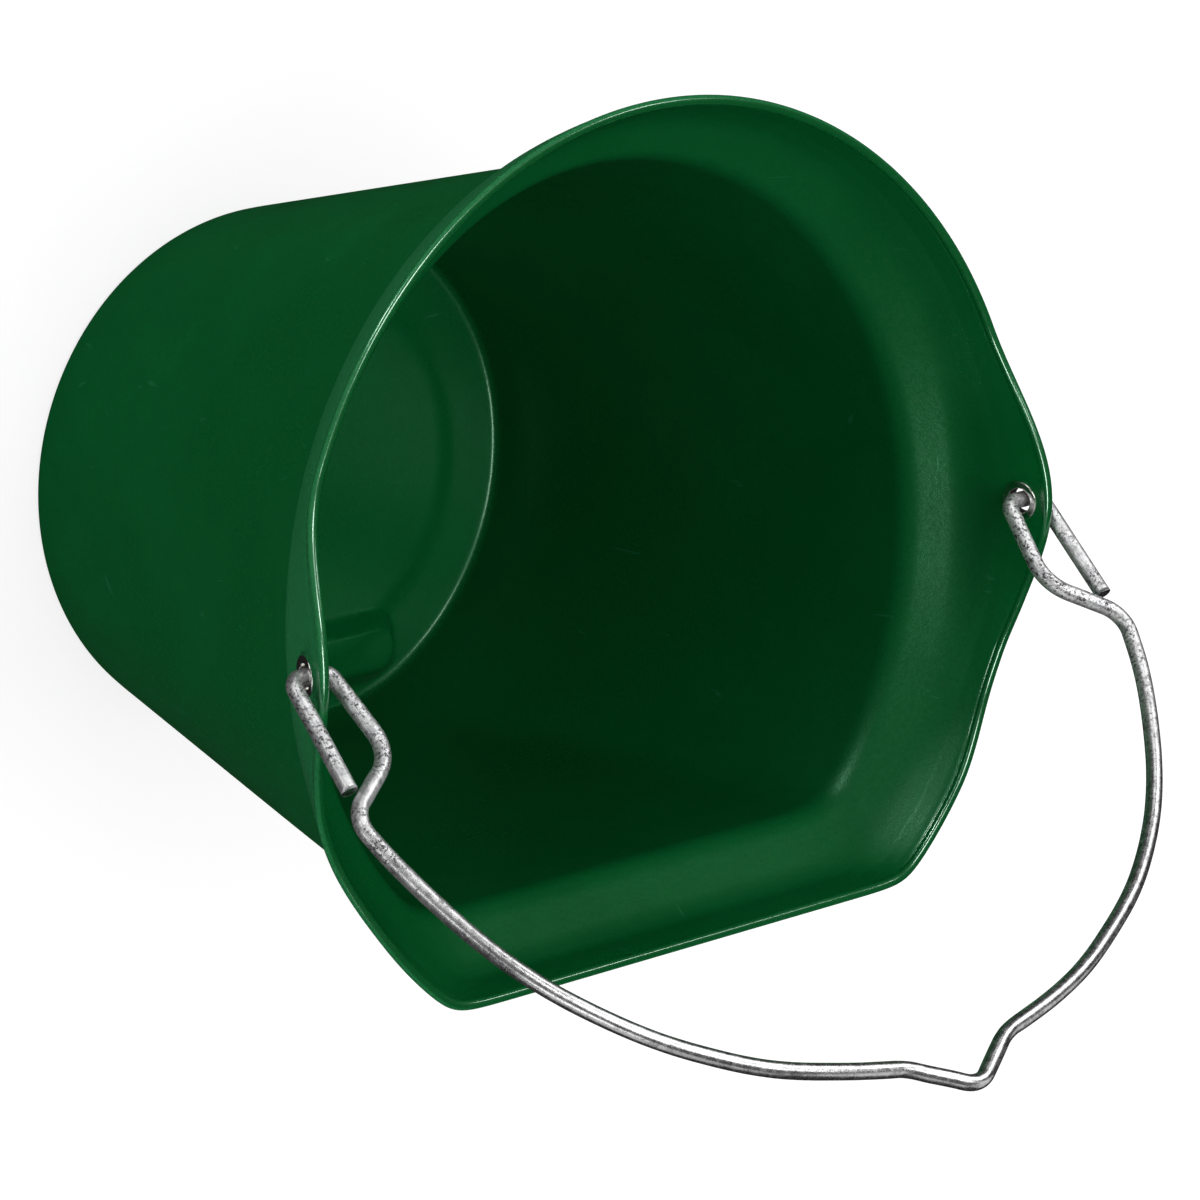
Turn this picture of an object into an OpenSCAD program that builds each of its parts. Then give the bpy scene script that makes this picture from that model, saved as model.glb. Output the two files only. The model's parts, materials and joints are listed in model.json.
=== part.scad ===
// Flat sided hanging feed bucket with a wire bail handle.
// Millimetres. Origin at the centre of the resting plane, +Z towards the mouth,
// the flat hanging side faces +Y, and the handle pivots about a line along X.

/* [Bucket] */
// Height from the resting plane to the rim line
bucket_h = 260; // [240:1:290]
// Radius of the round base
base_r = 100; // [92:0.5:106]
// Thickness of the moulded wall
wall = 3.2; // [3:0.1:4.6]
// Height at which the tapered body turns out into the shoulder
crease_z = 225; // [214:1:232]
// Half width of the body at the crease, along X
crease_half_x = 136; // [128:1:140]
// Half depth of the body at the crease, along Y
crease_half_y = 151; // [143:1:157]
// Distance of the flat side from the centre at the crease
crease_flat = 108; // [104:1:112]

/* [Collar] */
// Height of the outer edge of the shoulder
shoulder_z = 240; // [236:1:244]
// Half width of the mouth, along X
mouth_half_x = 162; // [158:1:166]
// Half depth of the mouth oval, along Y
mouth_half_y = 172.5; // [168:1:178]
// Distance of the flat side from the centre at the mouth
mouth_flat = 129.5; // [125:0.5:133]
// How far the collar leans out between shoulder and rim
collar_lean = 9.5; // [5:0.5:11]

/* [Ears] */
// Height of each ear above the rim line
ear_h = 16; // [14:0.5:20]
// Half length of each ear along the rim
ear_half_l = 63; // [56:1:70]
// Centre of the ears along Y
ear_y = -10; // [-14:1:-6]
// Place of the pivot line along Y
pivot_y = -6.5; // [-10:0.5:-4]
// Height of the pivot line above the rim line
pivot_up = 3; // [1:0.5:4]
// Bore of the hole through each ear
ear_hole_d = 11; // [10.6:0.1:12]

/* [Eyelets] */
// Clear bore of each eyelet
eyelet_bore = 9.2; // [8.4:0.1:9.6]
// Outside diameter of the eyelet flanges
eyelet_flange_d = 14.5; // [13.6:0.1:16]
// Thickness of each flange
eyelet_flange_t = 0.8; // [0.6:0.1:1]

/* [Base] */
// Height of the inside floor above the resting plane
floor_z = 18; // [14:0.5:24]
// Thickness of the floor
floor_t = 3.2; // [3:0.1:4.5]
// Radius of the raised disc in the middle of the floor
disc_r = 75; // [60:1:80]
// Width of the foot ring that the bucket stands on
foot_w = 4; // [3:0.5:5]
// Length of the tipping grip moulded into the floor by the flat side
grip_l = 94; // [80:1:100]
// Height of the tipping grip above the floor
grip_h = 8; // [5:0.5:12]

/* [Bail handle] */
// Diameter of the handle wire
wire_d = 6; // [5:0.1:6.4]
// Radius of the main arc of the handle
bail_r = 173; // [170:1:176]
// Distance of the arc's centre from the pivot line
bail_centre = 23; // [20:1:27]
// Tilt of the handle from upright towards the flat side
bail_tilt = 43; // [-80:0.5:80]
// Distance of the inside legs from the centre, at the kink
leg_x = 145.5; // [143.5:0.5:146.5]
// Distance of the outside tails from the centre
tail_x = 166; // [165.5:0.5:169]
// Reach of the cut end of each tail from the pivot line
tail_reach = 45.5; // [40:0.5:46]
// Height of the centre notch peak from the pivot line
notch_reach = 211.5; // [208:0.5:214]
// Half width of the centre notch
notch_half_w = 22; // [18:1:24]

/* [Hidden] */

green = [0.02, 0.30, 0.14];
eyelet_metal = [0.82, 0.82, 0.80];
steel = [0.66, 0.67, 0.68];

function mix(from, to, t) = from + (to - from) * t;

// ---- plan sections: an oval cut by the flat side, with blended corners
// columns: half width, half depth, y of the oval's centre, flat distance, corner sharpness
mouth_centre_y = -5;
shoulder_half_x = mouth_half_x - collar_lean;
base_plan = [base_r, base_r, 0, base_r + 1.5, 40];
crease_plan = [crease_half_x, crease_half_y, -3, crease_flat, 34];
shoulder_plan = [shoulder_half_x, mouth_half_y - 8.5, mouth_centre_y - 1, mouth_flat - 1, 40];
mouth_plan = [mouth_half_x, mouth_half_y, mouth_centre_y, mouth_flat, 60];

collar_power = 1.25;            // above 1, the collar steepens towards the rim
function body_plan(z) = mix(base_plan, crease_plan, z / crease_z);
// share of the collar's lean reached at t, from 0 at the shoulder to 1 at the rim
function lean_share(t) = 1 - pow(1 - t, collar_power);

function oval_r(angle, half_x, half_y) =
    1 / sqrt(pow(sin(angle) / half_x, 2) + pow(cos(angle) / half_y, 2));

// radius of a section, moved in by inset, at an angle measured from +Y
function plan_r(angle, plan, inset) =
    let (oval = oval_r(angle, plan[0] - inset, plan[1] - inset),
         facing = cos(angle),
         flat = facing > 0.02 ? (plan[3] - inset - plan[2]) / facing : 1e6,
         sharpness = plan[4])
    pow(pow(oval, -sharpness) + pow(flat, -sharpness), -1 / sharpness);

// ---- the rim rises into an ear at each side and dips slightly beyond it, towards +Y
dip_depth = 3.5;
dip_y = 66;
dip_half_l = 34;
function bell(u) = abs(u) < 1 ? pow(cos(90 * u), 2) : 0;
function rise(y) = ear_h * bell((y - ear_y) / ear_half_l)
    - dip_depth * bell((y - dip_y) / dip_half_l);

// ---- rings of points
seg = 96;                       // points round each ring
// rise_share is the part of the rim's rise that the ring takes
function ring(plan, inset, z, rise_share = 0) = [for (i = [0:seg - 1])
    let (angle = 360 * i / seg,
         radius = plan_r(angle, plan, inset),
         y = plan[2] + radius * cos(angle))
    [radius * sin(angle), y, z + rise_share * rise(y)]];
function disc(radius, z) = [for (i = [0:seg - 1])
    let (angle = 360 * i / seg) [radius * sin(angle), radius * cos(angle), z]];
function body_ring(z, inset) = ring(body_plan(z), inset, z);
function collar_ring(t, inset) =
    ring(mix(shoulder_plan, mouth_plan, lean_share(t)), inset, mix(shoulder_z, bucket_h, t), t);

// ---- shell outline
body_stations = [60, 115, 170]; // heights of the rings up the body
lip_r = (wall + 0.4) / 2;       // radius of the rounded lip
crease_lift = tan(24) * wall;   // lifts the inner creases to keep the wall even
under_z = floor_z - floor_t;    // underside of the floor
disc_rise = 2.4;                // height of the raised disc
disc_slope = 3;                 // half width of the slope round it, inside
foot_outer_r = base_r - 3;
foot_inner_r = foot_outer_r - foot_w;
foot_chamfer = 3;               // where the foot ring meets the underside
fillet = 4;                     // between the inside wall and the floor

shell_rings = concat(
    // underside, from the middle out to the foot ring
    [disc(disc_r - 4, under_z + disc_rise),
     disc(disc_r + 2, under_z),
     disc(foot_inner_r - foot_chamfer, under_z),
     disc(foot_inner_r, under_z - foot_chamfer),
     disc(foot_inner_r, 0),
     disc(foot_outer_r, 0)],
    // rounded bottom edge and tapered body
    [body_ring(1, 0.9), body_ring(4, 0)],
    [for (z = body_stations) body_ring(z, 0)],
    [body_ring(crease_z, 0)],
    // shoulder and collar
    [for (t = [0, 0.25, 0.5, 0.75]) collar_ring(t, 0)],
    // rounded lip
    [for (a = [0:36:180])
        ring(mouth_plan, lip_r * (1 - cos(a)), bucket_h - lip_r + lip_r * sin(a), 1)],
    // collar and body, inside
    [for (t = [0.75, 0.5, 0.25]) collar_ring(t, wall)],
    [ring(shoulder_plan, wall, shoulder_z + crease_lift),
     ring(crease_plan, wall, crease_z + crease_lift)],
    [for (i = [len(body_stations) - 1:-1:0]) body_ring(body_stations[i], wall)],
    // fillet into the floor and the raised middle disc
    [body_ring(floor_z + fillet, wall),
     body_ring(floor_z + 1, wall + 1.2),
     disc(base_r - wall - fillet, floor_z),
     disc(disc_r + disc_slope, floor_z),
     disc(disc_r - disc_slope, floor_z + disc_rise)]);

// a solid skinned over rings, closed by fans to centre points at start_z and end_z
module loft(rings, start_z, end_z) {
    last = len(rings) - 1;
    start_point = len(rings) * seg;
    end_point = start_point + 1;
    points = concat([for (r = rings) each r], [[0, 0, start_z], [0, 0, end_z]]);
    faces = concat(
        [for (k = [0:seg - 1]) [start_point, (k + 1) % seg, k]],
        [for (i = [0:last - 1]) for (k = [0:seg - 1])
            let (next = (k + 1) % seg, low = i * seg, high = low + seg)
            each [[low + k, low + next, high + next], [low + k, high + next, high + k]]],
        [for (k = [0:seg - 1]) [last * seg + k, last * seg + (k + 1) % seg, end_point]]);
    polyhedron(points = points, faces = faces);
}

// ---- ear holes and eyelet seats
// where the pivot line meets the ear, and how much the ear leans out there
pivot_z = bucket_h + pivot_up;
ear_span = bucket_h - shoulder_z + rise(pivot_y);
pivot_t = (pivot_z - shoulder_z) / ear_span;
ear_x = shoulder_half_x + collar_lean * lean_share(pivot_t);
ear_tilt = atan(collar_lean * collar_power * pow(1 - pivot_t, collar_power - 1) / ear_span);
seat_proud = 0.25;              // the seats stand this proud of both faces of the ear
seat_inner = -wall * cos(ear_tilt) - seat_proud;
seat_l = seat_proud - seat_inner;

// places a child whose axis is +Z square to the ear on the given side,
// with z = 0 on its outer face
module at_ear(side) {
    translate([side * ear_x, pivot_y, pivot_z])
        rotate([0, side * (90 + ear_tilt), 0])
            children();
}

// ---- tipping grip
grip_y = 76;
grip_w = 31;
grip_wall = 4;                  // left round the finger recess

// a bar with round corners, long side along X
module bar(length, width, corner, height) {
    translate([-length / 2 + corner, -width / 2, 0])
        cube([length - 2 * corner, width, height]);
    translate([-length / 2, -width / 2 + corner, 0])
        cube([length, width - 2 * corner, height]);
    for (x = [-1, 1]) for (y = [-1, 1])
        translate([x * (length / 2 - corner), y * (width / 2 - corner), 0])
            cylinder(r = corner, h = height, $fn = 48);
}

// a bar at the grip's place, from bottom_z to top_z, cut to a circle about the centre
module grip_bar(length, width, corner, bottom_z, top_z, limit_r) {
    intersection() {
        translate([0, grip_y, bottom_z]) bar(length, width, corner, top_z - bottom_z);
        cylinder(r = limit_r, h = 80, $fn = 96);
    }
}

module bucket_shell() {
    color(green) difference() {
        union() {
            loft(shell_rings, start_z = under_z + disc_rise, end_z = floor_z + disc_rise);
            // tipping grip: a raised bar in the floor, close to the flat side
            grip_bar(grip_l, grip_w, corner = 9, bottom_z = under_z,
                     top_z = floor_z + grip_h, limit_r = base_r - 2.6);
            // flat seats for the eyelets
            for (side = [-1, 1]) at_ear(side)
                translate([0, 0, seat_inner])
                    cylinder(d = eyelet_flange_d, h = seat_l, $fn = 64);
        }
        // finger recess of the tipping grip, open below
        grip_bar(grip_l - 2 * grip_wall, grip_w - 2 * grip_wall, corner = 6, bottom_z = -1,
                 top_z = under_z + grip_h, limit_r = base_r - 7.4);
        // holes through the ears
        for (side = [-1, 1]) at_ear(side)
            translate([0, 0, seat_inner - 8]) cylinder(d = ear_hole_d, h = 22, $fn = 64);
    }
}

// a crimped metal eyelet: barrel and two rolled flanges, axis along Z
module eyelet() {
    bore_r = eyelet_bore / 2;
    rolled_r = (eyelet_flange_d - eyelet_flange_t) / 2; // centre of the rolled edge
    color(eyelet_metal) rotate_extrude($fn = 72) {
        translate([bore_r, -eyelet_flange_t])
            square([ear_hole_d / 2 - bore_r, seat_l + 2 * eyelet_flange_t]);
        for (z = [-eyelet_flange_t, seat_l]) {
            translate([bore_r, z]) square([rolled_r - bore_r, eyelet_flange_t]);
            translate([rolled_r, z + eyelet_flange_t / 2])
                circle(d = eyelet_flange_t, $fn = 24);
        }
    }
}

// left and right as seen from the flat side
module eyelet_left() {
    at_ear(1) translate([0, 0, seat_inner]) eyelet();
}

module eyelet_right() {
    at_ear(-1) translate([0, 0, seat_inner]) eyelet();
}

// ---- the handle: straight lengths and bends of one wire, all in one plane
// points are [x, distance from the pivot line]
function arc_point(a) = [bail_r * cos(a), bail_centre + bail_r * sin(a)];
function arc_dir(a) = [-sin(a), cos(a)];
function cross2(u, v) = u[0] * v[1] - u[1] * v[0];
function unit(v) = v / norm(v);
// where the line through p along p_dir meets the line through q along q_dir
function meet(p, p_dir, q, q_dir) = p + p_dir * (cross2(q - p, q_dir) / cross2(p_dir, q_dir));

arc_start = 16;                 // the arc starts above the outward kink
arc_end = 77;                   // and ends where the wire runs straight to the notch
start_point = arc_point(arc_start);
start_dir = arc_dir(arc_start);
end_point = arc_point(arc_end);
end_dir = arc_dir(arc_end);
leg_top = [leg_x, 36];
kink_dir = unit([25, 19]);      // the wire's way out from the top of the leg

// corners of half the wire, from the cut end of the tail to the notch peak
// columns: corner point, bend radius
half_corners = [
    [[tail_x + 1, tail_reach], 0],
    [[tail_x, 0], 4.5],
    [[leg_x + 5, 0], 4.5],
    [leg_top, 16],
    [meet(leg_top, kink_dir, start_point, start_dir), 12],
    [meet(start_point, start_dir, end_point, end_dir), bail_r],
    [end_point + end_dir * (end_point[0] - notch_half_w) / sin(arc_end), 26],
    [[0, notch_reach], 9]];
corners = concat(half_corners, [for (i = [len(half_corners) - 2:-1:0])
    let (corner = half_corners[i]) [[-corner[0][0], corner[0][1]], corner[1]]]);
path = [for (corner = corners) corner[0]];
radii = [for (corner = corners) corner[1]];
last_corner = len(path) - 1;

// direction of the wire from corner i to the next
function run_dir(i) = unit(path[i + 1] - path[i]);
// turn at a corner, and how much straight length it uses up
function turn_at(i) =
    let (u = run_dir(i - 1), v = run_dir(i)) atan2(cross2(u, v), u * v);
function used(i) =
    i == 0 || i == last_corner ? 0 : radii[i] * tan(abs(turn_at(i)) / 2);

// the straight length between corners i and i + 1
module wire_straight(i) {
    from = path[i] + run_dir(i) * used(i);
    to = path[i + 1] - run_dir(i) * used(i + 1);
    run = to - from;
    if (norm(run) > 0.01)
        translate([from[0], 0, from[1]])
            rotate([0, atan2(run[0], run[1]), 0])
                cylinder(d = wire_d, h = norm(run), $fn = 48);
}

bend_thinning = 0.3;            // bends are drawn slightly thinner, as bent wire is
bend_lap = 0.8;                 // and run this far into the straight lengths

module wire_bend(i) {
    dir = run_dir(i - 1);
    turn = turn_at(i);
    start = path[i] - dir * used(i);
    centre = start + sign(turn) * radii[i] * [-dir[1], dir[0]];
    start_angle = atan2(start[1] - centre[1], start[0] - centre[0]);
    lap = bend_lap / radii[i] * 180 / PI;
    translate([centre[0], 0, centre[1]])
        rotate([90, 0, 0])
            rotate([0, 0, start_angle + min(turn, 0) - lap])
                rotate_extrude(angle = abs(turn) + 2 * lap, $fn = radii[i] > 50 ? 240 : 72)
                    translate([radii[i], 0]) circle(d = wire_d - bend_thinning, $fn = 48);
}

module bail_handle() {
    color(steel) translate([0, pivot_y, pivot_z]) rotate([-bail_tilt, 0, 0]) {
        for (i = [0:last_corner - 1]) wire_straight(i);
        for (i = [1:last_corner - 1]) wire_bend(i);
    }
}

bucket_shell();
eyelet_left();
eyelet_right();
bail_handle();
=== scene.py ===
# Flat sided feed bucket: a moulded plastic shell, two metal eyelets and a bent wire bail.
# It stands on z = 0 with its mouth up and its axis on z. The flat side faces +y, the left eyelet
# is at +x, and the bail leans towards +y. Shapes are worked out in millimetres, built in metres.
import json
import math
import bpy
import bmesh
import numpy as np
from mathutils import Matrix, Vector


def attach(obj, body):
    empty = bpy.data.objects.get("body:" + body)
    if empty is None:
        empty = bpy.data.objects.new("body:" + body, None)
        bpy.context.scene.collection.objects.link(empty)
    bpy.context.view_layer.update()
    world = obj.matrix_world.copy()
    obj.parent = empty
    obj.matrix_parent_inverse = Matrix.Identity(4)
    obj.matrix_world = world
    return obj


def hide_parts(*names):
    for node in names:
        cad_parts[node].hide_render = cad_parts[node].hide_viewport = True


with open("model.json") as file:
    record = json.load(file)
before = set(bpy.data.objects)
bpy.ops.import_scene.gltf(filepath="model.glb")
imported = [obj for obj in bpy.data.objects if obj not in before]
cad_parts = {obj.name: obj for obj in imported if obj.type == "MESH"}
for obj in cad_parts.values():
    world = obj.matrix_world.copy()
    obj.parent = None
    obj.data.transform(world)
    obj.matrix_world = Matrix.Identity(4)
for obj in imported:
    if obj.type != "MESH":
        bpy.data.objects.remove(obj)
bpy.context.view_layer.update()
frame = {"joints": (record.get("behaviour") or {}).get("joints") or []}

MM = 0.001
HINGE = next(j for j in frame["joints"] if j["name"] == "bail_hinge")
PIVOT = np.array(HINGE["pos_m"]) * 1000.0
PIVOT_Y, PIVOT_Z = float(PIVOT[1]), float(PIVOT[2])

# ---------------------------------------------------------------- shell dimensions (mm)
HEIGHT = 260.0
BASE_R, WALL, LIP = 100.0, 3.2, 3.6
CREASE_Z, SHOULDER_Z = 225.0, 240.0      # the wall steps out between these, the band is above
MOUTH_HALF_W, MOUTH_HALF_D = 162.0, 172.5
BAND_LEAN, BAND_LEAN_D = 9.5, 8.5        # how far the band spreads in x and in y
BAND_POWER = 1.25                        # above 1 the band spreads fastest at its foot
FLOOR_Z, FLOOR_T = 18.0, 3.2
DISC_R, DISC_RISE, HUB_R = 75.0, 2.4, 6  # raised disc in the floor, and its innermost ring
FOOT_W = 4.0
FOOT_IN = BASE_R - 3 - FOOT_W
EAR_RISE, EAR_HALF_W, EAR_Y = 16.0, 63.0, -10.0
DIP, DIP_HALF_W, DIP_Y = 3.5, 34.0, 66.0
TURN = math.tan(math.radians(24)) * WALL  # the inner creases sit this much higher
N_AROUND = 640

# Section: half width, half depth, y of the oval's centre, y of the flat side, corner sharpness
BASE = np.array([BASE_R, BASE_R, 0.0, BASE_R + 1.5, 40.0])
CREASE = np.array([136.0, 151.0, -3.0, 108.0, 34.0])
SHOULDER = np.array([MOUTH_HALF_W - BAND_LEAN, MOUTH_HALF_D - BAND_LEAN_D, -6.0, 128.5, 40.0])
MOUTH = np.array([MOUTH_HALF_W, MOUTH_HALF_D, -5.0, 129.5, 60.0])
INSET_PARTS = np.array([1, 1, 0, 1, 0])  # the parts of a section that an inset shrinks
# A ring is a section followed by its z and by its share of the rim's rise
RING_R, RING_Z, RING_LIFT = 0, 5, 6

# Grip bar in the floor by the flat side, hollow below
GRIP_H = 8.6
GRIP_FOOT = dict(y_mid=76, half_x=47, half_y=15.5, corner=10)
GRIP_TOP = dict(y_mid=75.0, half_x=41.0, half_y=7.6, corner=7.2)


# ---------------------------------------------------------------- shared helpers
def mix(a, b, t):
    return a + (b - a) * t


def smooth(t):
    t = np.clip(t, 0.0, 1.0)
    return t * t * (3 - 2 * t)


def fade(value, start, over):
    """Smooth step from 0 at start to 1 at start + over."""
    return smooth((value - start) / over)


def bell(u):
    return np.where(np.abs(u) < 1, np.cos(np.pi / 2 * np.clip(u, -1, 1)) ** 2, 0.0)


def rim_rise(y):
    """How far the rim stands above HEIGHT: up at the ears, down towards the flat side."""
    return EAR_RISE * bell((y - EAR_Y) / EAR_HALF_W) - DIP * bell((y - DIP_Y) / DIP_HALF_W)


def shade_smooth(mesh):
    mesh.polygons.foreach_set("use_smooth", [True] * len(mesh.polygons))


def link_object(name, mesh):
    ob = bpy.data.objects.new(name, mesh)
    bpy.context.scene.collection.objects.link(ob)
    return ob


def make_mesh(name, points, faces):
    mesh = bpy.data.meshes.new(name)
    mesh.from_pydata([tuple(p) for p in points], [], faces)
    mesh.validate()
    mesh.update()
    shade_smooth(mesh)
    return link_object(name, mesh)


def add_attribute(mesh, name, values):
    attribute = mesh.attributes.new(name, "FLOAT", "POINT")
    attribute.data.foreach_set("value", values.astype(np.float32))


# ---------------------------------------------------------------- shell rings
def ring(section, inset, z, lift):
    return np.concatenate([section - inset * INSET_PARTS, [z, lift]])


def body_ring(z, inset=0.0):
    return ring(mix(BASE, CREASE, z / CREASE_Z), inset, z, 0.0)


def band_ring(t, inset=0.0):
    """Ring in the band, t running from 0 at the shoulder to 1 at the mouth."""
    spread = 1 - (1 - t) ** BAND_POWER
    return ring(mix(SHOULDER, MOUTH, spread), inset, mix(SHOULDER_Z, HEIGHT, t), t)


def disc_ring(r, z):
    """Plain circle, its flat side too far out to cut it."""
    return np.array([r, r, 0.0, r + 40.0, 40.0, z, 0.0])


def gap(p, q):
    return math.hypot(p[RING_R] - q[RING_R], p[RING_Z] - q[RING_Z]) + 1e-9


def straight(start, end, step):
    n = max(1, int(math.ceil(gap(start, end) / step)))
    return [mix(start, end, k / n) for k in range(1, n + 1)]


def rounded(corners, step, n_arc):
    """Rings through (ring, reach) corners; reach is how far from the corner its curve starts."""
    rings = [corners[0][0]]
    last = rings[0]
    for i in range(1, len(corners) - 1):
        before, (corner, reach), after = corners[i - 1][0], corners[i], corners[i + 1][0]
        gap_in, gap_out = gap(before, corner), gap(corner, after)
        enter = mix(corner, before, min(reach, gap_in * 0.49) / gap_in)
        leave = mix(corner, after, min(reach, gap_out * 0.49) / gap_out)
        rings += straight(last, enter, step)
        for k in range(1, n_arc + 1):
            t = k / n_arc
            rings.append(mix(mix(enter, corner, t), mix(corner, leave, t), t))
        last = leave
    return rings + straight(last, corners[-1][0], step)


def lip_ring(angle):
    """Ring of the rolled lip, from outside (0) over the top to inside (pi)."""
    c, s = math.cos(angle), math.sin(angle)
    across = math.copysign(abs(c) ** 0.88, c)
    up = abs(s) ** 0.88
    return ring(MOUTH, LIP / 2 * (1 - across), HEIGHT - LIP / 2 + LIP / 2 * up, 1.0)


def shell_rings():
    """All rings from the middle of the underside, up the outside, over the lip and down inside."""
    under_z = FLOOR_Z - FLOOR_T
    under = rounded([
        (disc_ring(HUB_R, FLOOR_Z + DISC_RISE - FLOOR_T), 0),
        (disc_ring(DISC_R - 4, FLOOR_Z + DISC_RISE - FLOOR_T), 2.0),
        (disc_ring(DISC_R + 1, under_z), 2.0),
        (disc_ring(FOOT_IN - 3.0, under_z), 2.5),
        (disc_ring(FOOT_IN, 0.0), 0.9),
        (body_ring(0.0), 0)], step=1.6, n_arc=5)
    # the outside starts on the foot too, so the underside stops where they meet
    under = [s for s in under if not (s[RING_Z] < 0.01 and s[RING_R] > FOOT_IN + 1.5)]
    outside = rounded([
        (disc_ring(FOOT_IN + 1.6, 0.0), 0),
        (disc_ring(BASE_R - 0.2, 0.0), 4.2),
        (body_ring(8.0), 3.0),
        (body_ring(CREASE_Z), 5.0),
        (band_ring(0.0), 4.2),
        (band_ring(0.25), 1),
        (band_ring(0.5), 1),
        (band_ring(0.75), 1),
        (band_ring(1.0), 0)], step=3.2, n_arc=8)
    lip = [lip_ring(math.pi * k / 24) for k in range(25)]
    inside = rounded([
        (ring(MOUTH, LIP, HEIGHT - LIP / 2 - 0.5, 1.0), 0),
        (band_ring(0.86, WALL), 1.5),
        (band_ring(0.75, WALL), 1),
        (band_ring(0.5, WALL), 1),
        (ring(SHOULDER, WALL, SHOULDER_Z + TURN, 0.0), 6.0),
        (ring(CREASE, WALL, CREASE_Z + TURN, 0.0), 5.5),
        (body_ring(FLOOR_Z, WALL), 3.2),
        (disc_ring(DISC_R + 4.5, FLOOR_Z), 3.4),
        (disc_ring(DISC_R - 3.5, FLOOR_Z + DISC_RISE), 3.4),
        (disc_ring(HUB_R, FLOOR_Z + DISC_RISE), 0)], step=1.7, n_arc=9)
    rings = np.array(under + outside[:-1] + lip + inside)
    # leave out rings that all but coincide with the one before
    keep = [0]
    for i in range(1, len(rings)):
        moved = np.abs(rings[i] - rings[keep[-1]])[[0, 1, RING_Z]].max()
        if moved > 0.02:
            keep.append(i)
    return rings[keep], len(under)


def box_distance(x, y, y_mid, half_x, half_y, corner, grow):
    """Signed distance to a rounded rectangle centred on x = 0, negative inside."""
    qx = np.abs(x) - (half_x + grow) + corner
    qy = np.abs(y - y_mid) - (half_y + grow) + corner
    outside = np.hypot(np.maximum(qx, 0), np.maximum(qy, 0))
    return outside + np.minimum(np.maximum(qx, qy), 0) - corner


def grip(x, y, grow=0.0):
    """Height of the grip bar as a share of GRIP_H: sloped flanks and a slightly pillowed top."""
    from_foot = -box_distance(x, y, **GRIP_FOOT, grow=grow)
    from_top = box_distance(x, y, **GRIP_TOP, grow=grow)
    inward, outward = np.maximum(from_foot, 0), np.maximum(from_top, 0)
    u = inward / (inward + outward + 1e-9)
    flank = 0.2 * smooth(u) + 0.8 * np.clip((u - 0.05) / 0.90, 0, 1)
    pillow = 0.05 * smooth(-from_top / 7.0)
    return np.where(from_foot > 0, 0.95 * flank + pillow, 0.0)


def build_shell():
    rings, n_under = shell_rings()
    n_rings = len(rings)
    # angles run from +y, the middle of the flat side, towards +x
    angle = np.linspace(0, 2 * np.pi, N_AROUND, endpoint=False)
    sin, cos = np.sin(angle)[None, :], np.cos(angle)[None, :]
    half_w, half_d, oval_y, flat_y, sharp, ring_z, lift = rings.T[:, :, None]
    to_oval = 1 / np.sqrt((sin / half_w) ** 2 + (cos / half_d) ** 2)
    to_flat = np.where(cos > 0.02, (flat_y - oval_y) / np.maximum(cos, 0.02), 1e6)
    ratio = np.minimum(to_oval, to_flat) / np.maximum(to_oval, to_flat)
    reach = np.minimum(to_oval, to_flat) * (1 + ratio ** sharp) ** (-1 / sharp)
    x = reach * sin
    y = oval_y + reach * cos
    z = ring_z + lift * rim_rise(y)

    number = np.arange(n_rings)
    on_floor = ((number > n_rings // 2) & (rings[:, RING_Z] < FLOOR_Z + 6)
                & (rings[:, RING_LIFT] == 0))[:, None]
    below = ((number < n_under) & (rings[:, RING_Z] > FLOOR_Z - FLOOR_T - 0.5))[:, None]
    wall_fade = smooth((BASE_R - 2.0 - np.hypot(x, y)) / 3.5)
    z = z + on_floor * GRIP_H * grip(x, y) * wall_fade
    z = z + below * GRIP_H * grip(x, y, grow=-3.0)

    points = np.stack([x, y, z], -1).reshape(-1, 3)
    index = np.arange(n_rings * N_AROUND).reshape(n_rings, N_AROUND)
    ahead = np.roll(index, -1, 1)
    quads = np.stack([index[:-1], index[1:], ahead[1:], ahead[:-1]], -1).reshape(-1, 4)
    # one centre point closes each end with a fan
    first, last = index[0], index[-1]
    points = np.vstack([points, [[0, 0, points[first, 2].mean()]],
                        [[0, 0, points[last, 2].mean()]]]) * MM
    mid_first, mid_last = n_rings * N_AROUND, n_rings * N_AROUND + 1
    fans = [(mid_first, int(first[k]), int(first[(k + 1) % N_AROUND])) for k in range(N_AROUND)]
    fans += [(int(last[(k + 1) % N_AROUND]), int(last[k]), mid_last) for k in range(N_AROUND)]
    return make_mesh("bucket_body", points, [tuple(int(i) for i in q) for q in quads] + fans)


# ---------------------------------------------------------------- ears: holes and eyelet seats
EAR_SPAN = HEIGHT - SHOULDER_Z + float(rim_rise(PIVOT_Y))
HOLE_T = (PIVOT_Z - SHOULDER_Z) / EAR_SPAN
EAR_X = MOUTH_HALF_W - BAND_LEAN + BAND_LEAN * (1 - (1 - HOLE_T) ** BAND_POWER)
EAR_TILT = math.atan(BAND_LEAN * BAND_POWER * (1 - HOLE_T) ** (BAND_POWER - 1) / EAR_SPAN)
HOLE_R, SEAT_R, HOLE_CUT = 5.5, 7.1, 24
SEAT_OUT, SEAT_IN = 0.25, -WALL * math.cos(EAR_TILT) - 0.25  # seat faces along the hole's axis


def ear_matrix(side):
    """Frame on the outer wall at the hole, z pointing outwards; side is 1 at +x, -1 at -x."""
    return (Matrix.Translation((side * EAR_X * MM, PIVOT_Y * MM, PIVOT_Z * MM))
            @ Matrix.Rotation(side * (math.pi / 2 + EAR_TILT), 4, "Y"))


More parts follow.
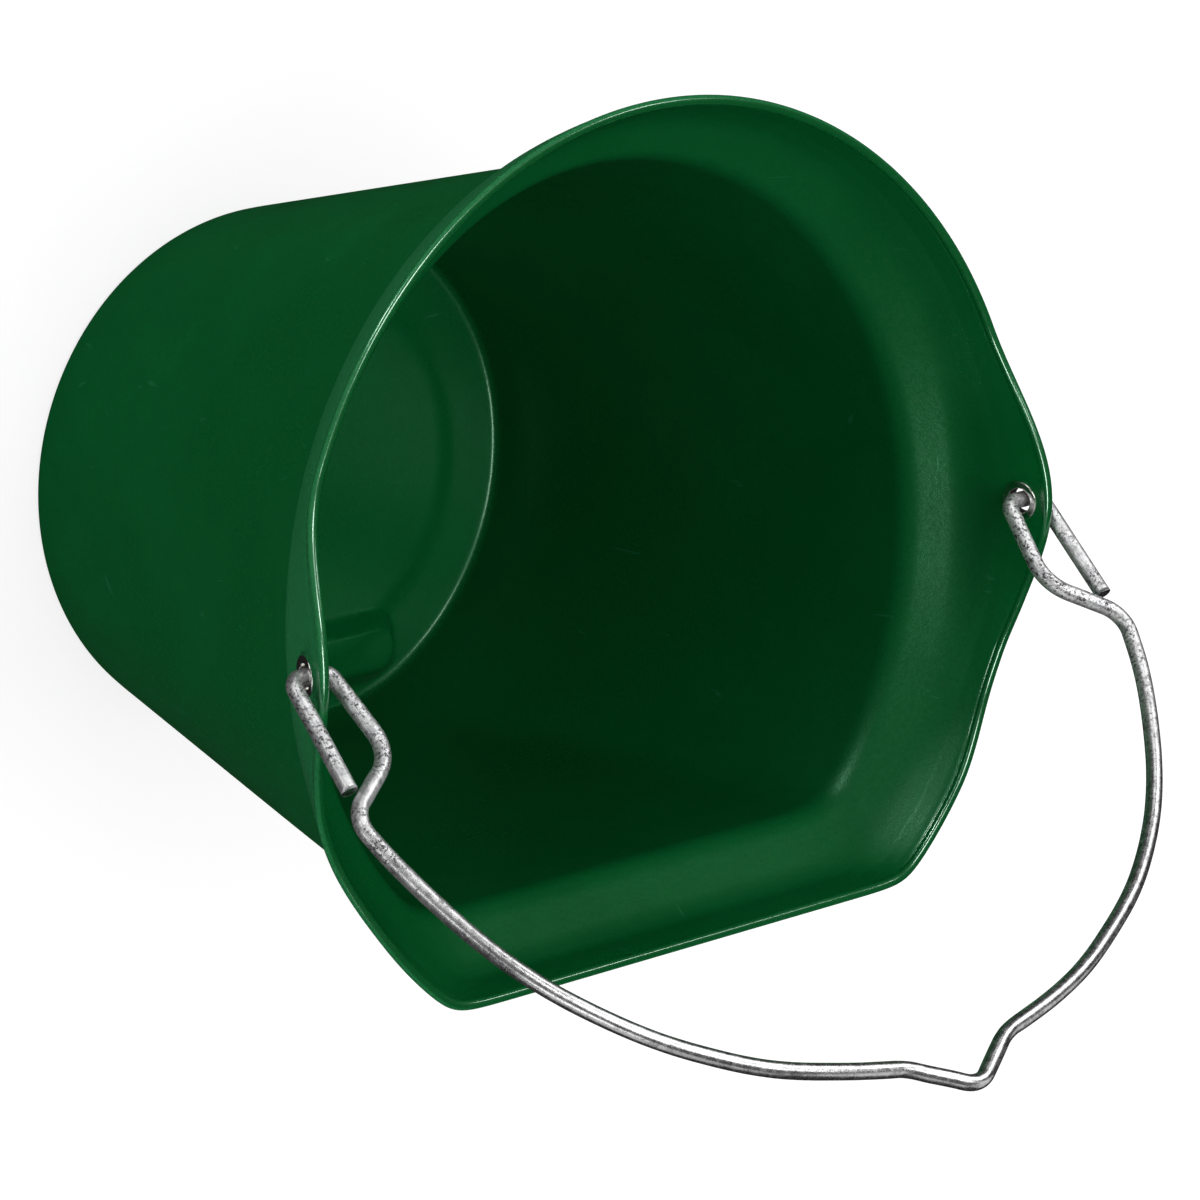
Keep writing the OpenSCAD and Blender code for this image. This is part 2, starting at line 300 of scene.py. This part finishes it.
def ear_cylinder(name, side, radius, depth, shift):
    bm = bmesh.new()
    bmesh.ops.create_cone(bm, cap_ends=True, segments=96, radius1=radius * MM,
                          radius2=radius * MM, depth=depth * MM)
    mesh = bpy.data.meshes.new(name)
    bm.to_mesh(mesh)
    bm.free()
    ob = link_object(name, mesh)
    ob.matrix_world = ear_matrix(side) @ Matrix.Translation((0, 0, shift * MM))
    return ob


def pierce_ears(shell):
    """Add a flat round seat on each ear, then cut the hole through it."""
    seats = [ear_cylinder("seat", side, SEAT_R, SEAT_OUT - SEAT_IN, (SEAT_OUT + SEAT_IN) / 2)
             for side in (1, -1)]
    cuts = [ear_cylinder("cut", side, HOLE_R, HOLE_CUT, 0) for side in (1, -1)]
    for tool in seats + cuts:
        modifier = shell.modifiers.new("hole", "BOOLEAN")
        modifier.operation = "UNION" if tool in seats else "DIFFERENCE"
        modifier.solver = "EXACT"
        modifier.object = tool
    bpy.context.view_layer.update()
    depsgraph = bpy.context.evaluated_depsgraph_get()
    pierced = bpy.data.meshes.new_from_object(shell.evaluated_get(depsgraph))
    shell.modifiers.clear()
    shell.data = pierced
    pierced.name = "bucket_body"
    for tool in seats + cuts:
        bpy.data.objects.remove(tool, do_unlink=True)


def vectors(elements, field):
    flat = np.zeros(len(elements) * 3, np.float32)
    elements.foreach_get(field, flat)
    return flat.reshape(-1, 3)


def mark_shell(mesh):
    """Store the masks that the plastic reads. Lengths here are in metres."""
    points = vectors(mesh.vertices, "co")
    normals = vectors(mesh.vertex_normals, "vector")
    from_axis = np.linalg.norm(points[:, :2], axis=1)
    z = points[:, 2]
    face_out = (normals[:, :2] * (points[:, :2] / (from_axis[:, None] + 1e-9))).sum(1)
    # the thin band lets a little light through, and that light is painted in: mark its outer face,
    # which the plastic colours lighter
    band_painted_light = fade(z, start=0.231, over=0.008) * fade(face_out, start=0.15, over=0.5)
    add_attribute(mesh, "band_painted_light", band_painted_light)
    # the top of the rim and the corner round the floor are polished by use
    rim_z = (HEIGHT + rim_rise(points[:, 1] * 1000)) / 1000
    polish = fade(z - rim_z, start=-0.0032, over=0.0012)
    nook = (face_out < 0.25) & (from_axis > 0.088)
    polish = np.maximum(polish, nook * smooth(1 - np.abs(z - 0.0200) / 0.0020))
    add_attribute(mesh, "polish", polish)


shell = build_shell()
pierce_ears(shell)
mark_shell(shell.data)
shade_smooth(shell.data)

# ---------------------------------------------------------------- eyelets
BORE_R, FLANGE_R = 4.6, 7.25
BORE_ROLL, RIM_ROLL = 0.55, 0.42  # radii of the rolled mouth of the bore and of the flange's rim


def arc(r_mid, z_mid, radius, start, end, steps):
    points = []
    for i in range(steps + 1):
        a = math.radians(mix(start, end, i / steps))
        points.append((r_mid + radius * math.cos(a), z_mid + radius * math.sin(a)))
    return points


def eyelet_profile():
    """Closed (r, z) outline: outer flange, barrel in the hole, inner flange, bore."""
    bore_mid, rim_mid = BORE_R + BORE_ROLL, FLANGE_R - RIM_ROLL
    return (arc(bore_mid, SEAT_OUT + 0.25, BORE_ROLL, 180, 90, 8)
            + arc(rim_mid, SEAT_OUT + 0.38, RIM_ROLL, 90, -90, 12)
            + [(HOLE_R + 0.1, SEAT_OUT - 0.02), (HOLE_R - 0.03, SEAT_OUT - 0.35),
               (HOLE_R - 0.03, SEAT_IN + 0.35), (HOLE_R + 0.1, SEAT_IN + 0.02)]
            + arc(rim_mid, SEAT_IN - 0.38, RIM_ROLL, 90, -90, 12)
            + arc(bore_mid, SEAT_IN - 0.25, BORE_ROLL, 270, 180, 8))


def lathe(name, profile, segments, placing):
    """Turn a closed (r, z) profile in mm about z, then place it."""
    n = len(profile)
    points, faces = [], []
    for k in range(segments):
        a = 2 * math.pi * k / segments
        points += [(r * math.cos(a) * MM, r * math.sin(a) * MM, z * MM) for r, z in profile]
        k2 = (k + 1) % segments
        for i in range(n):
            j = (i + 1) % n
            faces.append((k * n + i, k2 * n + i, k2 * n + j, k * n + j))
    ob = make_mesh(name, points, faces)
    ob.data.transform(placing)
    return ob


eyelet_left, eyelet_right = [
    lathe("metal_" + name, eyelet_profile(), 96, ear_matrix(side))
    for side, name in ((1, "eyelet_left"), (-1, "eyelet_right"))]

# ---------------------------------------------------------------- bail wire
# The wire is drawn in the bail's own plane, (x, w) in mm: w runs up from the hinge, tilted
# towards +y. Each end has a tail outside the ear and a leg inside it.
WIRE_R, N_WIRE = 3.0, 40
BAIL_R, BAIL_MID_W = 173.0, 23.0
BAIL_TILT = math.radians(43.0)
LEG_X, LEG_W, LEG_SPLAY = 145.5, 36, (25, 19)
TAIL_X, TAIL_W = 166.0, 45.5
PEAK_FOOT_X, PEAK_W = 22.0, 211.5        # small peak at the middle of the bail
SWEEP_START, SWEEP_END = 16.0, 77.0      # degrees of the big arc at +x
TIGHT_R = 50                             # bends tighter than this squeeze the wire
STRAIGHT_STEP, BEND_STEP, SWEEP_STEP = 1.2, 0.7, 1.4


def vec(x, w):
    return np.array((x, w), float)


def unit(v):
    return v / np.linalg.norm(v)


def cross(u, v):
    return u[0] * v[1] - u[1] * v[0]


def meet(p, u, q, v):
    """Where the line through p along u meets the line through q along v."""
    return p + u * (cross(q - p, v) / cross(u, v))


def sweep_line(deg):
    """Point and direction of the big arc at an angle."""
    c, s = math.cos(math.radians(deg)), math.sin(math.radians(deg))
    return vec(BAIL_R * c, BAIL_MID_W + BAIL_R * s), vec(-s, c)


def bail_corners():
    """(point, bend radius) from the tail at +x to the tail at -x."""
    start, start_dir = sweep_line(SWEEP_START)
    end, end_dir = sweep_line(SWEEP_END)
    leg_top = vec(LEG_X, LEG_W)
    kink = meet(leg_top, unit(vec(*LEG_SPLAY)), start, start_dir)
    sweep_corner = meet(start, start_dir, end, end_dir)
    peak_foot = end + end_dir * (end[0] - PEAK_FOOT_X) / math.sin(math.radians(SWEEP_END))
    half = [(vec(TAIL_X + 1, TAIL_W), 0), (vec(TAIL_X, 0), 4.5), (vec(LEG_X + 5, 0), 4.5),
            (leg_top, 16), (kink, 12), (sweep_corner, BAIL_R), (peak_foot, 26),
            (vec(0, PEAK_W), 9)]
    return half + [(vec(-p[0], p[1]), r) for p, r in half[-2::-1]]


def bend_path(corners):
    """Points along the wire, and 1 at each point of a tight bend."""
    points, bends = [corners[0][0]], [0.0]

    def run_to(target):
        start = points[-1]
        n = max(1, int(np.linalg.norm(target - start) / STRAIGHT_STEP))
        for j in range(1, n + 1):
            points.append(mix(start, target, j / n))
            bends.append(0.0)

    for i in range(1, len(corners) - 1):
        corner, radius = corners[i]
        u, v = unit(corner - corners[i - 1][0]), unit(corners[i + 1][0] - corner)
        turn = math.atan2(cross(u, v), float(u @ v))
        reach = radius * math.tan(abs(turn) / 2)
        enter, leave = corner - u * reach, corner + v * reach
        run_to(enter)
        tight = radius < TIGHT_R
        centre = enter + (1 if turn > 0 else -1) * radius * vec(-u[1], u[0])
        n = max(6, int(abs(turn) * radius / (BEND_STEP if tight else SWEEP_STEP)))
        first = math.atan2(*(enter - centre)[::-1])
        for j in range(1, n + 1):
            a = first + turn * j / n
            points.append(centre + radius * vec(math.cos(a), math.sin(a)))
            bends.append(1.0 if tight else 0.0)
    run_to(corners[-1][0])
    return np.array(points), np.array(bends)


def wander(s, seed, amp, wavelength):
    """Slow, smooth, repeatable unevenness along the wire."""
    draws = np.random.default_rng(seed)
    out = np.zeros_like(s)
    for q in range(5):
        phase = draws.uniform(0, 6.28)
        out += amp / (q + 1) * np.sin(2 * np.pi * s / (wavelength / (q + 1)) + phase)
    return out


def build_bail():
    path, bends = bend_path(bail_corners())
    along = np.r_[0, np.cumsum(np.linalg.norm(np.diff(path, axis=0), axis=1))]
    from_end = np.minimum(along, along[-1] - along)
    tangent = np.gradient(path, axis=0)
    tangent /= np.linalg.norm(tangent, axis=1)[:, None]
    normal = np.stack([-tangent[:, 1], tangent[:, 0]], 1)
    ease = smooth(from_end / 90.0)

    # the hand-bent sweep stands out a little at +x and in a little at -x
    x, w = path.T
    swing = np.degrees(np.arctan2(w - BAIL_MID_W, np.abs(x)))
    bulge = -3.0 * fade(swing, 18, 24) * fade(x, 3, 17) * (1 - 0.4 * fade(swing, 60, 15))
    tuck = 1.7 * fade(swing, 14, 16) * smooth((82 - swing) / 22)
    flat = path + normal * (np.where(x > 0, bulge, tuck) * (w > 60))[:, None]
    flat = flat + normal * (wander(along, seed=3, amp=0.22, wavelength=190) * ease)[:, None]
    sideways = wander(along, seed=5, amp=0.25, wavelength=230) * ease

    # from the bail's plane into space
    x_axis = [1, 0, 0]
    w_axis = np.array([0, math.sin(BAIL_TILT), math.cos(BAIL_TILT)])
    plane_normal = np.array([0, math.cos(BAIL_TILT), -math.sin(BAIL_TILT)])
    centre = (np.array([0, PIVOT_Y, PIVOT_Z]) + np.outer(flat[:, 0], x_axis)
              + np.outer(flat[:, 1], w_axis) + np.outer(sideways, plane_normal))
    normal3 = np.outer(normal[:, 0], x_axis) + np.outer(normal[:, 1], w_axis)
    tangent3 = np.outer(tangent[:, 0], x_axis) + np.outer(tangent[:, 1], w_axis)

    # bent wire is squeezed in the plane of each bend and goes slightly oval
    kernel = np.hanning(9)
    kernel /= kernel.sum()
    squeeze = np.convolve(bends, kernel, mode="same")
    radius = WIRE_R - 0.02 + wander(along, seed=11, amp=0.012, wavelength=37)
    angles = np.linspace(0, 2 * np.pi, N_WIRE, endpoint=False)
    n = len(centre)
    points, faces = [], []
    for i in range(n):
        r_in_plane = radius[i] * (1 - 0.035 * squeeze[i])
        r_across = radius[i] * (1 + 0.012 * squeeze[i])
        for a in angles:
            points.append(centre[i] + normal3[i] * (r_in_plane * math.cos(a))
                          + plane_normal * (r_across * math.sin(a)))
    for i in range(n - 1):
        here, there = i * N_WIRE, (i + 1) * N_WIRE
        for k in range(N_WIRE):
            k2 = (k + 1) % N_WIRE
            faces.append((here + k, here + k2, there + k2, there + k))

    def end_cap(i, sign):
        """Sheared cut end: a small rolled edge, then a slightly slanted face with a torn lip."""
        def add_face(face):
            faces.append(face if sign > 0 else face[::-1])

        previous = [i * N_WIRE + k for k in range(N_WIRE)]
        # (share of the wire's radius, distance out along the wire)
        for share, out in ((0.992, 0.10), (0.955, 0.24), (0.90, 0.30),
                           (0.70, 0.30), (0.40, 0.28), (0.15, 0.27)):
            current = []
            for a in angles:
                slant = 0.22 * math.cos(a + 0.6) * share + 0.05 * math.sin(3 * a + sign)
                tear = 0.16 * smooth((math.cos(a - 2.2) - 0.3) / 0.7) * (1 - abs(share - 0.8))
                # the last term sets the cut face back along the wire
                push = float(out + slant * (out > 0.2) * 0.6 + tear - 0.30)
                spoke = normal3[i] * math.cos(a) + plane_normal * math.sin(a)
                current.append(len(points))
                points.append(centre[i] + spoke * WIRE_R * share + sign * tangent3[i] * push)
            for k in range(N_WIRE):
                k2 = (k + 1) % N_WIRE
                add_face((previous[k], previous[k2], current[k2], current[k]))
            previous = current
        points.append(np.mean([points[j] for j in previous], axis=0))
        for k in range(N_WIRE):
            add_face((previous[k], previous[(k + 1) % N_WIRE], len(points) - 1))

    end_cap(0, -1)
    end_cap(n - 1, 1)
    bail = make_mesh("bail_wire", np.array(points) * MM, faces)
    bm = bmesh.new()
    bm.from_mesh(bail.data)
    bmesh.ops.recalc_face_normals(bm, faces=bm.faces)
    bm.to_mesh(bail.data)
    bm.free()
    shade_smooth(bail.data)

    # the finish is coarse near the ends and finer along the middle
    coarse = np.zeros(len(bail.data.vertices), np.float32)
    near_end = 1 - fade(from_end, start=120.0, over=90.0)
    coarse[:n * N_WIRE] = np.repeat(0.15 + 0.85 * near_end, N_WIRE)
    add_attribute(bail.data, "coarse", coarse)
    return bail


bail = build_bail()


# ---------------------------------------------------------------- node helpers
class Graph:
    """Adds nodes to a material's or world's emptied tree. Inputs take values or sockets."""

    def __init__(self, owner, output_kind):
        owner.use_nodes = True
        self.tree = owner.node_tree
        self.tree.nodes.clear()
        self.output = self.node(output_kind)

    def feed(self, node, inputs):
        for key, value in inputs.items():
            if isinstance(value, bpy.types.NodeSocket):
                self.tree.links.new(value, node.inputs[key])
            else:
                node.inputs[key].default_value = value

    def node(self, kind, inputs=None, **settings):
        node = self.tree.nodes.new(kind)
        for key, value in settings.items():
            setattr(node, key, value)
        self.feed(node, inputs or {})
        return node

    def coords(self, scale=(1, 1, 1), rotation=(0, 0, 0)):
        source = self.node("ShaderNodeTexCoord").outputs["Object"]
        return self.node("ShaderNodeMapping", {
            "Scale": scale, "Rotation": rotation, "Vector": source}).outputs[0]

    def noise(self, coord, scale, detail, rough, distort=0.0):
        return self.node("ShaderNodeTexNoise", {
            "Scale": scale, "Detail": detail, "Roughness": rough,
            "Distortion": distort, "Vector": coord}).outputs["Fac"]

    def ramp(self, value, lo, hi, to_lo=0.0, to_hi=1.0):
        """Smooth step of value between lo and hi, giving to_lo up to to_hi."""
        return self.node("ShaderNodeMapRange", {
            "From Min": lo, "From Max": hi, "To Min": to_lo, "To Max": to_hi,
            "Value": value}, clamp=True, interpolation_type="SMOOTHSTEP").outputs[0]

    def math(self, operation, *values):
        return self.node("ShaderNodeMath", dict(enumerate(values)),
                         operation=operation).outputs[0]

    def scaled(self, value, by):
        return self.math("MULTIPLY", value, by)

    def linear(self, value, gain, base):
        return self.math("MULTIPLY_ADD", value, gain, base)

    def blend(self, fac, a, b):
        """Mix of two colours, each a socket or an (r, g, b)."""
        a, b = [(*c, 1.0) if isinstance(c, tuple) else c for c in (a, b)]
        return self.node("ShaderNodeMix", {0: fac, 6: a, 7: b}, data_type="RGBA").outputs[2]

    def blend_float(self, fac, a, b):
        return self.node("ShaderNodeMix", {0: fac, 2: a, 3: b}, data_type="FLOAT").outputs[0]

    def blend_shader(self, fac, a, b):
        return self.node("ShaderNodeMixShader", {0: fac, 1: a, 2: b}).outputs[0]

    def attribute(self, name):
        return self.node("ShaderNodeAttribute", attribute_name=name).outputs["Fac"]

    def bump(self, height, strength, distance, under=None):
        inputs = {"Strength": strength, "Distance": distance, "Height": height}
        if under is not None:
            inputs["Normal"] = under
        return self.node("ShaderNodeBump", inputs).outputs[0]


def new_material(name):
    material = bpy.data.materials.new(name)
    g = Graph(material, "ShaderNodeOutputMaterial")
    bsdf = g.node("ShaderNodeBsdfPrincipled")
    g.feed(g.output, {0: bsdf.outputs[0]})
    return material, g, bsdf


# ---------------------------------------------------------------- materials
def moulded_green():
    material, g, bsdf = new_material("moulded_green")
    coord = g.coords()
    big = g.noise(coord, scale=9.0, detail=3.0, rough=0.55)
    mid = g.noise(coord, scale=60.0, detail=4.0, rough=0.6)
    fine = g.noise(coord, scale=1400.0, detail=2.0, rough=0.6)
    grain = g.noise(coord, scale=620.0, detail=3.0, rough=0.65)
    # soft flow variation and a faint bloom
    colour = g.blend(g.ramp(big, lo=0.35, hi=0.65),
                     (0.0006, 0.074, 0.0145), (0.0011, 0.087, 0.0185))
    colour = g.blend(g.ramp(mid, lo=0.3, hi=0.75, to_hi=0.35), colour, (0.0006, 0.064, 0.0140))
    # rubbed edges are paler
    pointiness = g.node("ShaderNodeNewGeometry").outputs["Pointiness"]
    patches = g.noise(coord, scale=140.0, detail=4.0, rough=0.7)
    rub = g.math("MULTIPLY", g.ramp(pointiness, lo=0.52, hi=0.60),
                 g.ramp(patches, lo=0.42, hi=0.62, to_lo=0.25))
    colour = g.blend(g.scaled(rub, by=0.12), colour, (0.030, 0.20, 0.10))
    # painted light: the outer face of the thin band is coloured lighter, standing in for the light
    # that comes through the thin plastic
    colour = g.blend(g.scaled(g.attribute("band_painted_light"), by=0.9), colour, (0.0125, 0.138, 0.044))
    # sparse fine scratches: the peaks of two stretched noises
    streaks_1 = g.noise(g.coords(scale=(18, 420, 60), rotation=(0.3, 0.5, 0.9)),
                        scale=1.0, detail=2.0, rough=0.5, distort=0.6)
    streaks_2 = g.noise(g.coords(scale=(380, 25, 50), rotation=(0.9, 0.2, 0.4)),
                        scale=1.0, detail=2.0, rough=0.5, distort=0.5)
    scratch = g.math("MAXIMUM", g.ramp(streaks_1, lo=0.735, hi=0.76),
                     g.ramp(streaks_2, lo=0.74, hi=0.765))
    specks = g.noise(coord, scale=950.0, detail=2.0, rough=0.7)
    colour = g.blend(g.ramp(specks, lo=0.36, hi=0.64, to_hi=0.30), colour,
                     (0.0004, 0.048, 0.010))
    colour = g.blend(g.scaled(scratch, by=0.22), colour, (0.02, 0.15, 0.075))

    rough = g.math("ADD", g.ramp(big, lo=0.3, hi=0.7, to_lo=0.28, to_hi=0.35),
                   g.ramp(grain, lo=0.3, hi=0.7, to_lo=-0.03, to_hi=0.05))
    rough = g.math("ADD", rough, g.scaled(scratch, by=0.12))
    polish = g.attribute("polish")
    rough = g.math("SUBTRACT", rough, g.scaled(polish, by=0.10))
    normal = g.bump(fine, strength=0.15, distance=0.00014)
    normal = g.bump(grain, strength=0.20, distance=0.00026, under=normal)
    normal = g.bump(mid, strength=0.10, distance=0.0006, under=normal)
    normal = g.bump(scratch, strength=0.25, distance=-0.00006, under=normal)
    g.feed(bsdf, {
        "Base Color": colour,
        "Roughness": rough,
        "IOR": 1.49,
        "Specular IOR Level": g.linear(polish, gain=0.45, base=0.42),
        "Specular Tint": (0.42, 1.0, 0.62, 1.0),
        "Coat Weight": g.scaled(polish, by=0.9),
        "Coat IOR": 1.7,
        "Coat Roughness": 0.16,
        "Normal": normal})
    return material


def galvanised_wire():
    material, g, bsdf = new_material("galvanised_wire")
    coord = g.coords()
    cells = g.node("ShaderNodeTexVoronoi", {"Scale": 330.0, "Randomness": 1.0, "Vector": coord})
    cell = g.node("ShaderNodeSeparateColor", {0: cells.outputs["Color"]}).outputs[0]
    mottle = g.noise(coord, scale=420.0, detail=6.0, rough=0.72, distort=0.4)
    speck = g.noise(coord, scale=760.0, detail=3.0, rough=0.75)
    blotch = g.noise(coord, scale=60.0, detail=4.0, rough=0.6)
    coarse = g.attribute("coarse")
    colour = g.blend(g.ramp(cell, lo=0.1, hi=0.9), (0.46, 0.46, 0.47), (0.74, 0.74, 0.75))
    colour = g.blend(g.ramp(mottle, lo=0.35, hi=0.68, to_hi=0.7), colour, (0.86, 0.86, 0.86))
    # dark specks gather in blotches, mostly where the finish is coarse
    dark = g.math("MULTIPLY", g.ramp(speck, lo=0.50, hi=0.60), g.ramp(blotch, lo=0.36, hi=0.54))
    dark = g.math("MULTIPLY", dark, g.linear(coarse, gain=0.75, base=0.25))
    colour = g.blend(g.scaled(dark, by=0.92), colour, (0.035, 0.035, 0.04))
    rough = g.math("ADD", g.ramp(mottle, lo=0.3, hi=0.7, to_lo=0.15, to_hi=0.30),
                   g.scaled(dark, by=0.2))
    rough = g.math("ADD", rough, g.scaled(coarse, by=0.15))
    normal = g.bump(mottle, strength=0.30, distance=0.00012)
    normal = g.bump(speck, strength=0.25, distance=0.00006, under=normal)
    normal = g.bump(blotch, strength=0.25, distance=0.00025, under=normal)
    g.feed(bsdf, {
        "Base Color": colour,
        # the zinc crust near the ends scatters more, the drawn middle stays bright
        "Metallic": g.linear(coarse, gain=-0.10, base=1.0),
        "Roughness": rough,
        "Normal": normal})
    return material


def plated_eyelet():
    material, g, bsdf = new_material("plated_eyelet")
    coord = g.coords()
    pits = g.noise(coord, scale=900.0, detail=4.0, rough=0.6)
    cloud = g.noise(coord, scale=240.0, detail=4.0, rough=0.65)
    colour = g.blend(g.ramp(cloud, lo=0.35, hi=0.7, to_hi=0.5),
                     (0.86, 0.85, 0.82), (0.66, 0.65, 0.62))
    colour = g.blend(g.scaled(g.ramp(pits, lo=0.62, hi=0.74), by=0.6), colour,
                     (0.12, 0.12, 0.11))
    normal = g.bump(cloud, strength=0.2, distance=0.0001)
    g.feed(bsdf, {
        "Base Color": colour,
        "Metallic": 1.0,
        "Roughness": g.ramp(cloud, lo=0.3, hi=0.7, to_lo=0.12, to_hi=0.28),
        "Normal": g.bump(pits, strength=0.2, distance=0.00005, under=normal)})
    return material


def floor_paper():
    """Bright to the camera, nearly black in reflections, mid grey to every other ray."""
    material = bpy.data.materials.new("floor_paper")
    g = Graph(material, "ShaderNodeOutputMaterial")
    cloud = g.noise(g.coords(), scale=3.0, detail=3.0, rough=0.5)
    paper = g.blend(g.ramp(cloud, lo=0.3, hi=0.7), (0.30, 0.30, 0.30), (0.32, 0.32, 0.32))
    lit = g.node("ShaderNodeBsdfDiffuse", {"Color": paper}).outputs[0]
    glow = g.node("ShaderNodeEmission", {"Strength": 0.78}).outputs[0]
    seen = g.node("ShaderNodeAddShader", {0: lit, 1: glow}).outputs[0]
    dim = g.node("ShaderNodeEmission", {"Strength": 0.012}).outputs[0]
    soft = g.node("ShaderNodeBsdfDiffuse", {"Color": (0.40, 0.40, 0.40, 1)}).outputs[0]
    ray = g.node("ShaderNodeLightPath").outputs
    unseen = g.blend_shader(ray["Is Glossy Ray"], soft, dim)
    g.feed(g.output, {0: g.blend_shader(ray["Is Camera Ray"], unseen, seen)})
    material.cycles.emission_sampling = "NONE"
    return material


green, wire_metal, eyelet_metal = moulded_green(), galvanised_wire(), plated_eyelet()
shell.data.materials.clear()

# object, material, the body it rides on, the CAD piece it replaces, its slot
for ob, material, body, cad_piece, slot in (
        (shell, green, "bucket", "bucket_shell", "shell_plastic"),
        (bail, wire_metal, "bail", "bail_handle", "handle_wire"),
        (eyelet_left, eyelet_metal, "bucket", "eyelet_left", "eyelet_metal"),
        (eyelet_right, eyelet_metal, "bucket", "eyelet_right", "eyelet_metal")):
    ob.data.materials.append(material)
    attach(ob, body)
    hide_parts(cad_piece)

# ---------------------------------------------------------------- floor
floor = make_mesh("floor", [(-7, -7, 0), (7, -7, 0), (7, 7, 0), (-7, 7, 0)], [(0, 1, 2, 3)])
floor.data.materials.append(floor_paper())

# ---------------------------------------------------------------- lights
LIGHT_TARGET = Vector((0, 0, 0.15))

# Name, direction from the target, distance (m), width (m), height (m, None for a square),
# power (W), and the axis the height follows where that isn't z
FILL_LIGHTS = (
    ("key_soft", (-0.12, -0.55, 0.82), 2.4, 0.9, None, 9),
    ("fill_top", (0.0, 0.0, 1.0), 2.2, 1.6, None, 30, (0, 1, 0)),
    ("fill_left", (1.0, -0.35, 0.02), 2.4, 1.6, 0.45, 4),
    ("fill_far", (0.10, -1.0, 0.02), 2.4, 1.6, 0.45, 40),
    ("fill_near", (0.70, 0.70, 0.02), 2.4, 1.2, 0.45, 31),
)
REFLECTED_LIGHTS = (
    ("box_over", (0.38, 0.16, 0.90), 2.2, 0.45, 1.2, 27, (0, 1, 0)),
    ("box_back", (0.05, -0.36, 0.93), 2.2, 0.5, None, 11),
    ("box_side", (-0.53, -0.40, 0.75), 2.4, 0.35, None, 4),
    ("box_low", (0.60, -0.76, 0.22), 2.4, 0.28, None, 9),
)
METAL_LIGHTS = (
    ("metal_white", (-0.55, -0.62, 0.55), 2.4, 1.2, None, 12),
    ("metal_grey", (-0.577, 0.45, 0.68), 2.4, 2.2, None, 10),
    ("metal_side", (-0.76, -0.56, 0.30), 2.4, 1.5, 1.0, 4.5),
    ("metal_strip", (0.72, -0.66, 0.18), 2.4, 0.5, 1.0, 4.5),
    ("metal_far", (0.05, -0.95, 0.30), 2.4, 2.0, 1.2, 11),
    ("metal_left", (1.0, -0.1, 0.3), 2.4, 0.4, 1.6, 5),
    ("metal_top", (-0.05, -0.45, 1.0), 2.2, 1.2, None, 13),
    ("metal_near", (0.458, 0.693, 0.556), 2.4, 2.0, None, 7),
    ("metal_front", (0.60, 0.30, 0.66), 2.6, 0.9, None, 4.5),
)


def area_light(name, direction, distance, width, height, power, along=(0, 0, 1)):
    light = bpy.data.lights.new(name, "AREA")
    light.energy = power
    light.shape = "RECTANGLE" if height else "SQUARE"
    light.size = width
    if height:
        light.size_y = height
    lamp = link_object(name, light)
    back = Vector(direction).normalized()
    lamp.location = LIGHT_TARGET + back * distance
    along = Vector(along)
    up = (along - back * along.dot(back)).normalized()
    lamp.rotation_euler = Matrix((up.cross(back), up, back)).transposed().to_euler()
    lamp.visible_camera = False
    return lamp


def collection_of(name, *objects):
    collection = bpy.data.collections.new(name)
    for ob in objects:
        collection.objects.link(ob)
    return collection


for row in FILL_LIGHTS:
    area_light(*row).visible_glossy = False
# soft boxes that only show as reflections, and not in the metal
boxes = [area_light(*row) for row in REFLECTED_LIGHTS]
# lights only the metal sees, so the wire keeps its bright and dark bands
metal_only = collection_of("metal_only", bail, eyelet_left, eyelet_right)
for row in METAL_LIGHTS:
    area_light(*row).light_linking.receiver_collection = metal_only
all_but_metal = collection_of("all_but_metal", shell, floor)
for box in boxes:
    box.visible_diffuse = False
    box.light_linking.receiver_collection = all_but_metal


# ---------------------------------------------------------------- world
def build_world():
    """White to the camera, even for diffuse rays, a dim gradient in reflections."""
    world = bpy.data.worlds.new("studio")
    bpy.context.scene.world = world
    g = Graph(world, "ShaderNodeOutputWorld")
    facing = g.node("ShaderNodeVectorMath", {
        0: g.node("ShaderNodeTexCoord").outputs["Generated"],
        1: Vector((0.25, -0.65, 0.70)).normalized()}, operation="DOT_PRODUCT")
    gradient = g.ramp(facing.outputs["Value"], lo=-0.1, hi=1.0, to_lo=0.008, to_hi=0.12)
    ray = g.node("ShaderNodeLightPath").outputs
    strength = g.blend_float(ray["Is Diffuse Ray"], a=gradient, b=0.60)
    strength = g.blend_float(ray["Is Camera Ray"], a=strength, b=1.0)
    background = g.node("ShaderNodeBackground", {"Strength": strength})
    g.feed(g.output, {0: background.outputs[0]})
    world.cycles.sampling_method = "NONE"


build_world()

# ---------------------------------------------------------------- camera
# Rows: the camera's right, down and forward axes in the world
VIEW_AXES = np.array([[-0.7928652360630319, 0.03553956942411177, 0.6083598083764751],
                      [0.19578721875766394, 0.9602281547824664, 0.19907098164774917],
                      [-0.5770893192685613, 0.27694553574341757, -0.7682897160693616]])
# The world's origin along those axes, seen from the camera (mm)
ORIGIN_IN_VIEW = np.array([-131.26750122720458, -51.94552845567578, 2297.078261249852])

right, down, forward = VIEW_AXES
place = -VIEW_AXES.T @ ORIGIN_IN_VIEW * MM
camera_data = bpy.data.cameras.new("camera")
camera_data.sensor_fit = "HORIZONTAL"
camera_data.sensor_width = 36.0
camera_data.lens = 180.0
camera_data.clip_end = 50
camera = link_object("camera", camera_data)
camera.matrix_world = Matrix([*zip(right, -down, -forward, place), (0, 0, 0, 1)])
scene = bpy.context.scene
scene.camera = camera
scene.view_settings.view_transform = "Standard"
scene.view_settings.look = "None"
